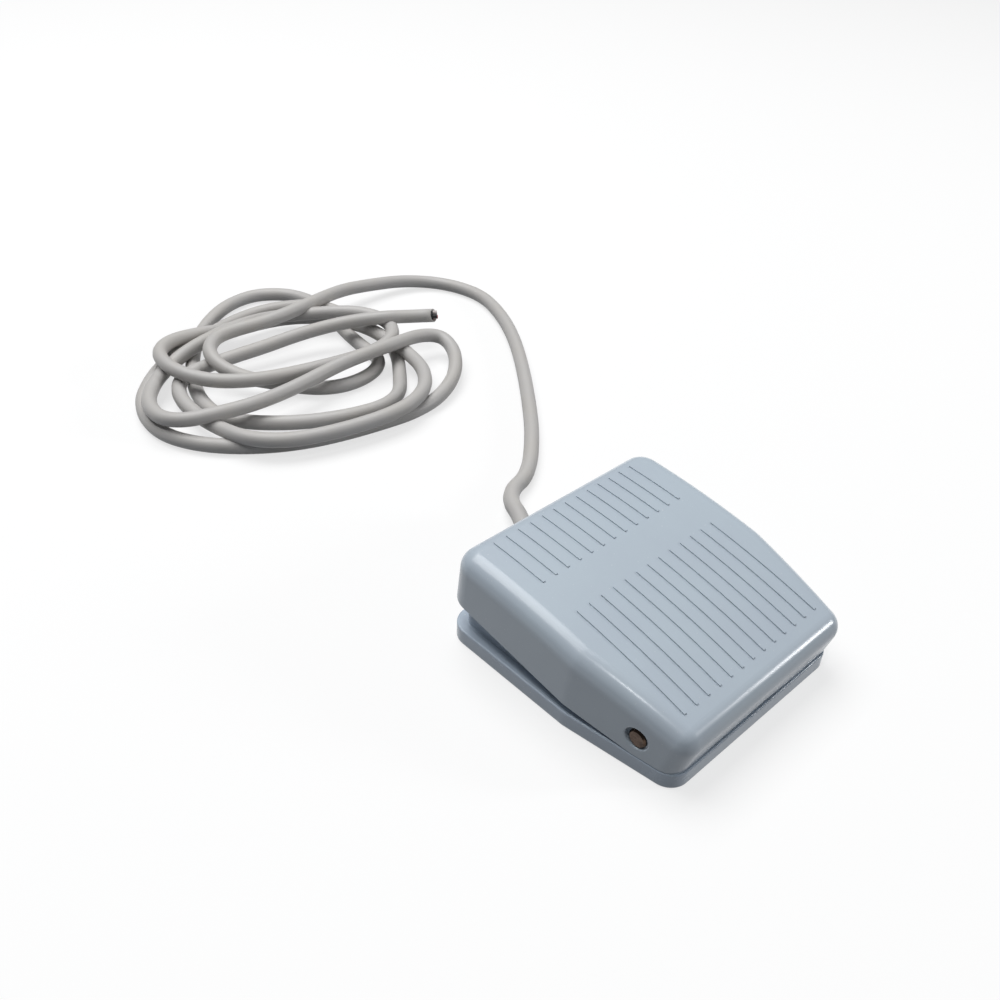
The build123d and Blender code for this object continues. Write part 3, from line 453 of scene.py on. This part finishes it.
def mouldedPlastic(name, setup):
    # glossy moulding: faint flow marks, handling haze, orange peel and a few dust specks
    finish = Finish(name, Specular_IOR_Level=0.5, IOR=1.5)
    flow = finish.ramp(finish.noise(plasticGrain["flow"], 4, 0.55), 0.3, 0.72)
    haze = finish.ramp(finish.noise(plasticGrain["haze"], 5, 0.6), 0.42, 0.75)
    speck = finish.ramp(finish.noise(plasticGrain["speck"], 1, 0.4), 0.74, 0.8)
    colour = finish.blend(flow, setup["colour"], setup["deep"])
    finish.set("Base Color", finish.blend(speck * setup["speck"], colour, dustColour))
    finish.set("Roughness", setup["roughness"] + haze * setup["haze"] + speck * 0.2)
    coarse = finish.noise(plasticGrain["peel"], 2, 0.5)
    fine = finish.noise(plasticGrain["finePeel"], 1, 0.5)
    finish.bump(coarse + fine * 0.25, setup["peel"], skinDepth)
    return finish.material


rubberSetup = {
    "foot_rubber": {"colour": srgb(38, 38, 40), "pale": srgb(58, 58, 60), "roughness": 0.72},
    "grommet_rubber": {"colour": srgb(120, 124, 130), "pale": srgb(140, 143, 148), "roughness": 0.62},
}


def softRubber(name, setup):
    # dull rubber with a pale bloom and a fine grain
    finish = Finish(name, Specular_IOR_Level=0.35)
    bloom = finish.ramp(finish.noise(160, 5, 0.6), 0.4, 0.72)
    finish.set("Base Color", finish.blend(bloom, setup["colour"], setup["pale"]))
    finish.set("Roughness", setup["roughness"] + bloom * 0.12)
    finish.bump(finish.noise(1900, 3, 0.6), 0.35, skinDepth)
    return finish.material


metalSetup = {
    "pin_steel": {
        # the pin's colour is partly its own brown tone and partly painted reflection: it is darkened to
        # stand in for the dark surroundings that the steel reflects
        "colour": srgb(80, 66, 57), "worn": srgb(46, 35, 29),
        "roughness": 0.2, "rings": 5200,
    },
    "spring_steel": {
        "colour": srgb(150, 152, 158), "worn": srgb(96, 98, 104),
        "roughness": 0.26, "rings": 0,
    },
    "screw_steel": {
        "colour": srgb(186, 186, 184), "worn": srgb(150, 148, 142),
        "roughness": 0.28, "rings": 0,
    },
    "lever_steel": {
        "colour": srgb(198, 200, 202), "worn": srgb(160, 162, 166),
        "roughness": 0.22, "rings": 0,
    },
    "contact_brass": {
        "colour": srgb(214, 176, 104), "worn": srgb(166, 126, 72),
        "roughness": 0.3, "rings": 0,
    },
}


def bareMetal(name, setup, axis):
    # drawn or turned metal: long scratches, and turning rings on the pin's face
    finish = Finish(name, Metallic=1.0)
    grime = finish.ramp(finish.noise(520, 4, 0.6), 0.42, 0.7)
    lines = finish.noise(900, 3, 0.6, finish.stretched((1, 14, 14)))
    finish.set("Base Color", finish.blend(grime * 0.7, setup["colour"], setup["worn"]))
    finish.set("Roughness", setup["roughness"] + grime * 0.16 + lines * 0.08)
    height = lines
    if setup["rings"]:
        x, y, z = finish.parts(finish.place)
        off = (y - axis[0]) * (y - axis[0]) + (z - axis[1]) * (z - axis[1])
        turn = off ** 0.5 * setup["rings"] * 4
        height = lines * 0.4 + finish.node("ShaderNodeMath", {"operation": "SINE"}, {0: turn})
    finish.bump(height, 0.12, 0.00003)
    return finish.material


sheathColours = {
    "colour": srgb(191, 189, 187),
    "deep": srgb(191, 188, 184),
    "scuff": srgb(210, 208, 205),
}


def cordSheath(name, colours):
    # soft plastic sheath: a dull sheen, scuffs and a faint draw line
    finish = Finish(name, Specular_IOR_Level=0.42)
    cloud = finish.ramp(finish.noise(55, 5, 0.6), 0.35, 0.7)
    scuff = finish.ramp(finish.noise(340, 5, 0.7), 0.6, 0.78)
    colour = finish.blend(cloud, colours["colour"], colours["deep"])
    finish.set("Base Color", finish.blend(scuff * 0.35, colour, colours["scuff"]))
    finish.set("Roughness", 0.42 + cloud * 0.08 + scuff * 0.12)
    finish.bump(finish.noise(700, 4, 0.55), 0.16, skinDepth)
    return finish.material


sleeveColours = {
    "core_red_sleeve": (srgb(206, 74, 86), srgb(178, 52, 66)),
    "core_black_sleeve": (srgb(30, 28, 32), srgb(20, 19, 22)),
    "core_white_sleeve": (srgb(214, 206, 204), srgb(196, 186, 184)),
}


def coreSleeve(name, colours):
    # thin glossy sleeve on one wire
    finish = Finish(name, Specular_IOR_Level=0.5)
    cloud = finish.ramp(finish.noise(600, 3, 0.6), 0.4, 0.7)
    finish.set("Base Color", finish.blend(cloud, colours[0], colours[1]))
    finish.set("Roughness", 0.36 + cloud * 0.14)
    finish.bump(finish.noise(2400, 2, 0.5), 0.15, 0.00005)
    return finish.material


low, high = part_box("pivot_pin")
pinAxis = ((low.y + high.y) / 2, (low.z + high.z) / 2)
finishes = {"cord_sheath": cordSheath("cord_sheath", sheathColours)}
for name, setup in plasticSetup.items():
    finishes[name] = mouldedPlastic(name, setup)
for name, setup in rubberSetup.items():
    finishes[name] = softRubber(name, setup)
for name, setup in metalSetup.items():
    finishes[name] = bareMetal(name, setup, pinAxis)
for name, colours in sleeveColours.items():
    finishes[name] = coreSleeve(name, colours)

nodeFinish = {
    "base": "base_plastic",
    "pedal": "pedal_plastic",
    "rubber_feet": "foot_rubber",
    "stop_bumpers": "foot_rubber",
    "cord_grommet": "grommet_rubber",
    "pivot_pin": "pin_steel",
    "pin_clips": "spring_steel",
    "return_spring": "spring_steel",
    "switch_screws": "screw_steel",
    "clamp_screws": "screw_steel",
    "switch_lever": "lever_steel",
    "lever_pin": "pin_steel",
    "contact_blade": "contact_brass",
    "terminal_common": "contact_brass",
    "terminal_open": "contact_brass",
    "terminal_rest": "contact_brass",
    "switch_case": "switch_plastic",
    "switch_cover": "switch_cover_plastic",
    "switch_button": "button_plastic",
    "cord_clamp": "clamp_plastic",
    "cord_entry": "cord_sheath",
    "cord_lead": "cord_sheath",
    "cord_coil": "cord_sheath",
    "cord_tail": "cord_sheath",
    "lead_common": "core_black_sleeve",
    "lead_open": "core_red_sleeve",
    "lead_rest": "core_white_sleeve",
    "core_red": "core_red_sleeve",
    "core_black": "core_black_sleeve",
    "core_white": "core_white_sleeve",
}


def dress(piece, material):
    # the finish goes into every slot of the piece
    if not piece.data.materials:
        piece.data.materials.append(material)
    for i in range(len(piece.material_slots)):
        piece.material_slots[i].link = "OBJECT"
        piece.material_slots[i].material = material


for name, finishName in nodeFinish.items():
    dress(nodes[name], finishes[finishName])
dress(cord, finishes["cord_sheath"])
dress(sheathRim, finishes["cord_sheath"])
# the dark rubber finish on this disc is the painted shade of the cord's opening
dress(cordHoleShade, finishes["foot_rubber"])
print("finishes on", len(nodeFinish), "parts")

# Floor, world and lamps

studioSetup = {
    "floorHalf": 3.0,
    "floorSeen": srgb(250, 250, 250),
    "floorBounce": srgb(118, 121, 126),
    "glow": 0.7,
    "worldSeen": (1.0, 1.0, 1.0, 1.0),
    "worldLight": (0.93, 0.96, 1.0, 1.0),
    "worldStrength": 0.13,
    "lamps": {
        "topPanel": {"aim": (0.02, 0.42, 0.90), "far": 1.5, "size": (1.3, 1.0), "power": 21.0},
        "highSpark": {"aim": (-0.27, -0.15, 0.95), "far": 1.3, "size": (0.05, 0.10), "power": 1.6},
        "heelSpark": {"aim": (0.69, -0.64, 0.34), "far": 1.3, "size": (0.16, 0.26), "power": 4.0},
    },
}


def makeFloor(setup):
    half = setup["floorHalf"]
    mesh = bpy.data.meshes.new("floor")
    work = bmesh.new()
    corners = ((-half, -half), (half, -half), (half, half), (-half, half))
    work.faces.new([work.verts.new((x, y, 0)) for x, y in corners])
    work.to_mesh(mesh)
    work.free()
    floor = bpy.data.objects.new("floor", mesh)
    bpy.context.scene.collection.objects.link(floor)
    finish = Finish("floor_white", Specular_IOR_Level=0.0, Roughness=1.0)
    kinds = ("Camera", "Glossy", "Transmission")
    rays = [finish.node("ShaderNodeLightPath", {}, {}, f"Is {kind} Ray") for kind in kinds]
    # seen straight or in a reflection the floor is white, and it still keeps its shadow
    seen = finish.node("ShaderNodeClamp", {}, {"Value": rays[0] + rays[1] + rays[2]})
    finish.set("Base Color", finish.blend(seen, setup["floorBounce"], setup["floorSeen"]))
    glow = finish.node("ShaderNodeEmission", {}, {"Color": (1.0, 1.0, 1.0, 1.0), "Strength": 1.0})
    inputs = {0: seen * setup["glow"], 1: Wire(finish, finish.shader.outputs[0]), 2: glow}
    mixed = finish.node("ShaderNodeMixShader", {}, inputs)
    finish.links.new(mixed.socket, finish.nodes["Material Output"].inputs["Surface"])
    mesh.materials.append(finish.material)


def makeWorld(setup):
    world = bpy.data.worlds.new("studio")
    world.use_nodes = True
    bpy.context.scene.world = world
    tree = world.node_tree
    shown = tree.nodes.new("ShaderNodeBackground")
    shown.inputs["Color"].default_value = setup["worldSeen"]
    light = tree.nodes["Background"]
    light.inputs["Color"].default_value = setup["worldLight"]
    light.inputs["Strength"].default_value = setup["worldStrength"]
    rays = tree.nodes.new("ShaderNodeLightPath")
    mixed = tree.nodes.new("ShaderNodeMixShader")
    tree.links.new(rays.outputs["Is Camera Ray"], mixed.inputs[0])
    tree.links.new(light.outputs[0], mixed.inputs[1])
    tree.links.new(shown.outputs[0], mixed.inputs[2])
    tree.links.new(mixed.outputs[0], tree.nodes["World Output"].inputs["Surface"])


def makeLamp(name, setup):
    data = bpy.data.lights.new(name, "AREA")
    data.shape = "RECTANGLE"
    data.size = setup["size"][0]
    data.size_y = setup["size"][1]
    data.energy = setup["power"]
    lamp = bpy.data.objects.new(name, data)
    way = Vector(setup["aim"]).normalized()
    lamp.location = way * setup["far"]
    lamp.rotation_mode = "QUATERNION"
    lamp.rotation_quaternion = way.to_track_quat("Z", "Y")
    bpy.context.scene.collection.objects.link(lamp)


makeFloor(studioSetup)
makeWorld(studioSetup)
for name, setup in studioSetup["lamps"].items():
    makeLamp(name, setup)
bpy.context.scene.view_settings.view_transform = "Standard"
print("studio ready")
